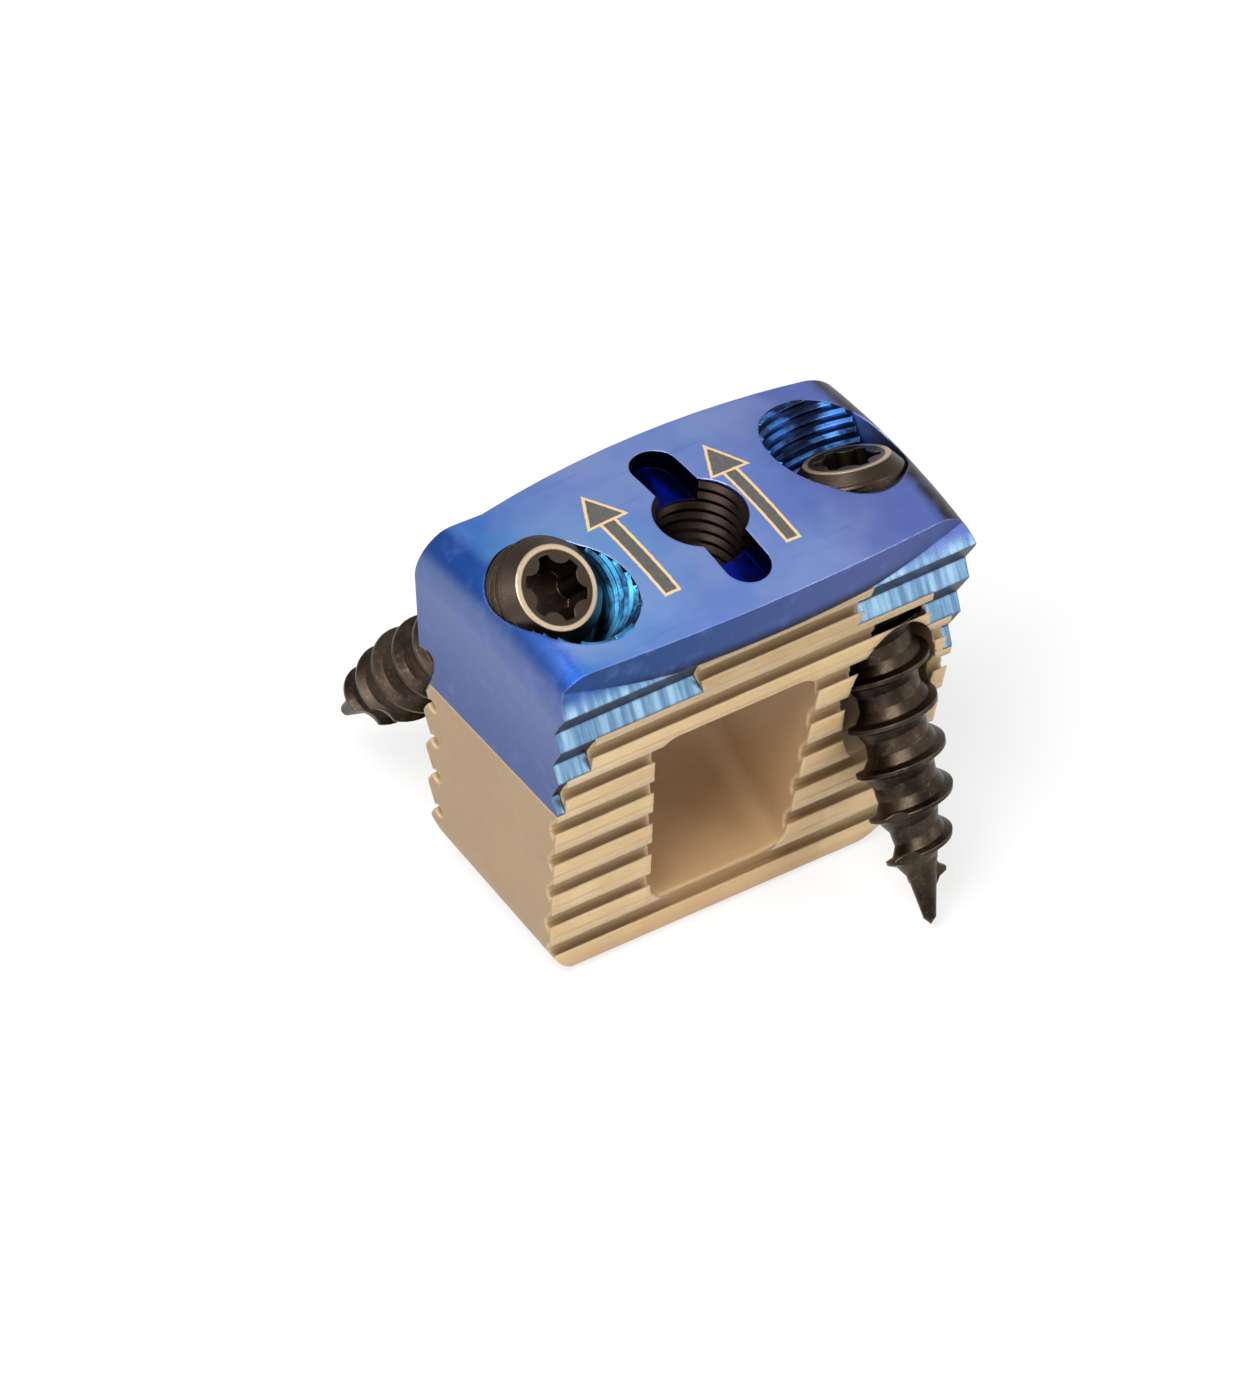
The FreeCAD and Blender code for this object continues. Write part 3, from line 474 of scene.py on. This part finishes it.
def wound_ridge(name, wall, centre, axis, radius, rise, pitch, low, high, material):
    """A ridge with a sharp crest wound along an axis, kept only where a wall backs it.

    A negative rise stands inward from a bore, a positive one outward from a shaft.
    """
    side = axis.orthogonal().normalized()
    across = axis.cross(side)
    sunk = 0.03 * MM if rise > 0 else -0.03 * MM
    half = pitch * 0.44

    def spot(turn, reach, level):
        angle = turn * math.tau
        return centre + (side * math.cos(angle) + across * math.sin(angle)) * reach + axis * level

    def backed(turn, level):
        return wall.holds(spot(turn, radius - sunk * 1.7, level))

    def trimmed(turn, level, outward):
        """A level moved back to where the wall ends, from the ridge's middle outward."""
        if backed(turn, level + outward):
            return level + outward
        kept, lost = 0.0, 1.0
        for halving in range(6):
            middle = (kept + lost) / 2
            if backed(turn, level + outward * middle):
                kept = middle
            else:
                lost = middle
        return level + outward * kept

    runs = [[]]
    total = int((high - low) / pitch * TURN_STEPS)
    for number in range(total + 1):
        turn = number / TURN_STEPS
        level = low + pitch * turn
        if not backed(turn, level):
            runs.append([])
            continue
        fade = max(0.05, min(1, number / 20, (total - number) / 20))
        runs[-1].append((
            spot(turn, radius - sunk, trimmed(turn, level, -half)),
            spot(turn, radius + rise * fade, level),
            spot(turn, radius - sunk, trimmed(turn, level, half)),
        ))
    shape = bmesh.new()
    for run in runs:
        if len(run) < 3:
            continue
        rings = [[shape.verts.new(point) for point in section] for section in run]
        shape.faces.new(reversed(rings[0]))
        shape.faces.new(rings[-1])
        for last, ring in zip(rings, rings[1:]):
            for first in range(3):
                second = (first + 1) % 3
                shape.faces.new((last[first], last[second], ring[second], ring[first]))
    bmesh.ops.recalc_face_normals(shape, faces=shape.faces)
    made = bpy.data.meshes.new(name)
    shape.to_mesh(made)
    shape.free()
    made.materials.append(material)
    piece = bpy.data.objects.new(name, made)
    bpy.context.scene.collection.objects.link(piece)
    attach(piece, "root")
    return piece


plate_wall = Wall("front_plate")
bore_wall = Wall("front_plate", "threaded_bush")
up = Vector((0, 0, 1))
wound_ridge(
    "socket_thread", bore_wall, Vector((0, 0, 0)), up, SOCKET_RADIUS, -0.17 * MM, SOCKET_PITCH,
    BUSH_FOOT + 0.3 * MM, PLATE_DEPTH - 0.1 * MM, bush_metal,
)
seat_ridges = seat_ridge_finish()
for hand, side_name in ((-1, "left"), (1, "right")):
    wound_ridge(
        f"seat_thread_{side_name}", plate_wall, seat_centre(hand),
        screw_axis(hand, SEAT_TILT, SEAT_LEAN), SEAT_RADIUS, -0.12 * MM, LOCK_PITCH,
        -2.2 * MM, 2.4 * MM, seat_ridges,
    )
for side_name, head, axis in (("left", LEFT_HEAD, LEFT_AXIS), ("right", RIGHT_HEAD, RIGHT_AXIS)):
    node = f"bone_screw_{side_name}"
    screw_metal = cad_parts[node].data.materials[0]
    wound_ridge(
        f"head_thread_{side_name}", Wall(node), head, axis,
        HEAD_RADIUS, 0.1 * MM, LOCK_PITCH, -2.2 * MM, -0.5 * MM, screw_metal,
    )


# Floor, lamps and camera
def seen_rays(tree):
    """1 for rays that see a thing straight on, in a mirror or through glass."""
    path = tree.nodes.new("ShaderNodeLightPath")
    seen = path.outputs["Is Camera Ray"]
    for name in ("Is Glossy Ray", "Is Transmission Ray"):
        either = tree.nodes.new("ShaderNodeMath")
        either.operation = "MAXIMUM"
        tree.links.new(seen, either.inputs[0])
        tree.links.new(path.outputs[name], either.inputs[1])
        seen = either.outputs[0]
    return seen


def white_floor():
    """A pale floor that keeps a soft shadow."""
    made = bpy.data.meshes.new("floor")
    shape = bmesh.new()
    bmesh.ops.create_grid(shape, x_segments=1, y_segments=1, size=2.0)
    shape.to_mesh(made)
    shape.free()
    floor = bpy.data.objects.new("floor", made)
    bpy.context.scene.collection.objects.link(floor)
    material = bpy.data.materials.new("floor_white")
    material.use_nodes = True
    tree = material.node_tree
    tree.nodes.clear()
    paint = tree.nodes.new("ShaderNodeBsdfDiffuse")
    paint.inputs["Color"].default_value = (0.9, 0.9, 0.9, 1)
    glow = tree.nodes.new("ShaderNodeEmission")
    blend = tree.nodes.new("ShaderNodeMixShader")
    share = tree.nodes.new("ShaderNodeMath")
    share.operation = "MULTIPLY"
    share.inputs[1].default_value = 0.72
    tree.links.new(seen_rays(tree), share.inputs[0])
    tree.links.new(share.outputs[0], blend.inputs[0])
    tree.links.new(paint.outputs[0], blend.inputs[1])
    tree.links.new(glow.outputs[0], blend.inputs[2])
    out = tree.nodes.new("ShaderNodeOutputMaterial")
    tree.links.new(blend.outputs[0], out.inputs[0])
    made.materials.append(material)


def studio_air():
    """A world that is white where it is seen and softer where it lights."""
    world = bpy.data.worlds.new("studio")
    bpy.context.scene.world = world
    world.use_nodes = True
    tree = world.node_tree
    tree.nodes.clear()
    level = tree.nodes.new("ShaderNodeMapRange")
    level.inputs["To Min"].default_value = 0.45
    level.inputs["To Max"].default_value = 1.0
    tree.links.new(seen_rays(tree), level.inputs["Value"])
    sky = tree.nodes.new("ShaderNodeBackground")
    tree.links.new(level.outputs[0], sky.inputs["Strength"])
    out = tree.nodes.new("ShaderNodeOutputWorld")
    tree.links.new(sky.outputs[0], out.inputs[0])


def softbox(name, place, size, watts):
    """A square lamp that faces the cage."""
    data = bpy.data.lights.new(name, "AREA")
    data.shape = "SQUARE"
    data.size = size
    data.energy = watts
    lamp = bpy.data.objects.new(name, data)
    lamp.location = place
    lamp.rotation_mode = "QUATERNION"
    lamp.rotation_quaternion = (Vector((0, 0, 8 * MM)) - Vector(place)).to_track_quat("-Z", "Y")
    bpy.context.scene.collection.objects.link(lamp)


CAMERA_AZIMUTH = math.radians(-38.48)
CAMERA_ELEVATION = math.radians(43.33)
CAMERA_ROLL = math.radians(5.3)
PHOTO_WIDTH = 1260
PHOTO_HEIGHT = 1392
PIXELS_PER_METRE = 29.93 / MM
PLATE_MIDDLE_PIXEL = (700.5, 511.5)
LENS = 1000
SENSOR = 36


def photo_camera():
    """A long lens at the photograph's viewing angle, shifted to its framing."""
    level = math.cos(CAMERA_ELEVATION)
    back = Vector((
        math.sin(CAMERA_AZIMUTH) * level,
        -math.cos(CAMERA_AZIMUTH) * level,
        math.sin(CAMERA_ELEVATION),
    ))
    flat_right = Vector((math.cos(CAMERA_AZIMUTH), math.sin(CAMERA_AZIMUTH), 0))
    flat_up = back.cross(flat_right)
    right = flat_right * math.cos(CAMERA_ROLL) + flat_up * math.sin(CAMERA_ROLL)
    up = back.cross(right)
    data = bpy.data.cameras.new("photo_camera")
    data.lens = LENS
    data.sensor_width = SENSOR
    data.shift_x = (PHOTO_WIDTH / 2 - PLATE_MIDDLE_PIXEL[0]) / PHOTO_HEIGHT
    data.shift_y = (PLATE_MIDDLE_PIXEL[1] - PHOTO_HEIGHT / 2) / PHOTO_HEIGHT
    away = PHOTO_HEIGHT / PIXELS_PER_METRE / SENSOR * LENS
    data.clip_start = away / 10
    data.clip_end = away * 10
    camera = bpy.data.objects.new("photo_camera", data)
    turn = Matrix((right, up, back)).transposed()
    place = Vector((0, 0, PLATE_DEPTH)) + back * away
    camera.matrix_world = Matrix.Translation(place) @ turn.to_4x4()
    bpy.context.scene.collection.objects.link(camera)
    bpy.context.scene.camera = camera


white_floor()
studio_air()
softbox("overhead", (-0.16, -0.04, 0.28), 0.20, 1.3)
softbox("near_right", (0.20, -0.22, 0.14), 0.14, 0.35)
softbox("near_left", (-0.25, -0.20, 0.10), 0.15, 0.15)
photo_camera()
bpy.context.scene.view_settings.view_transform = "Standard"
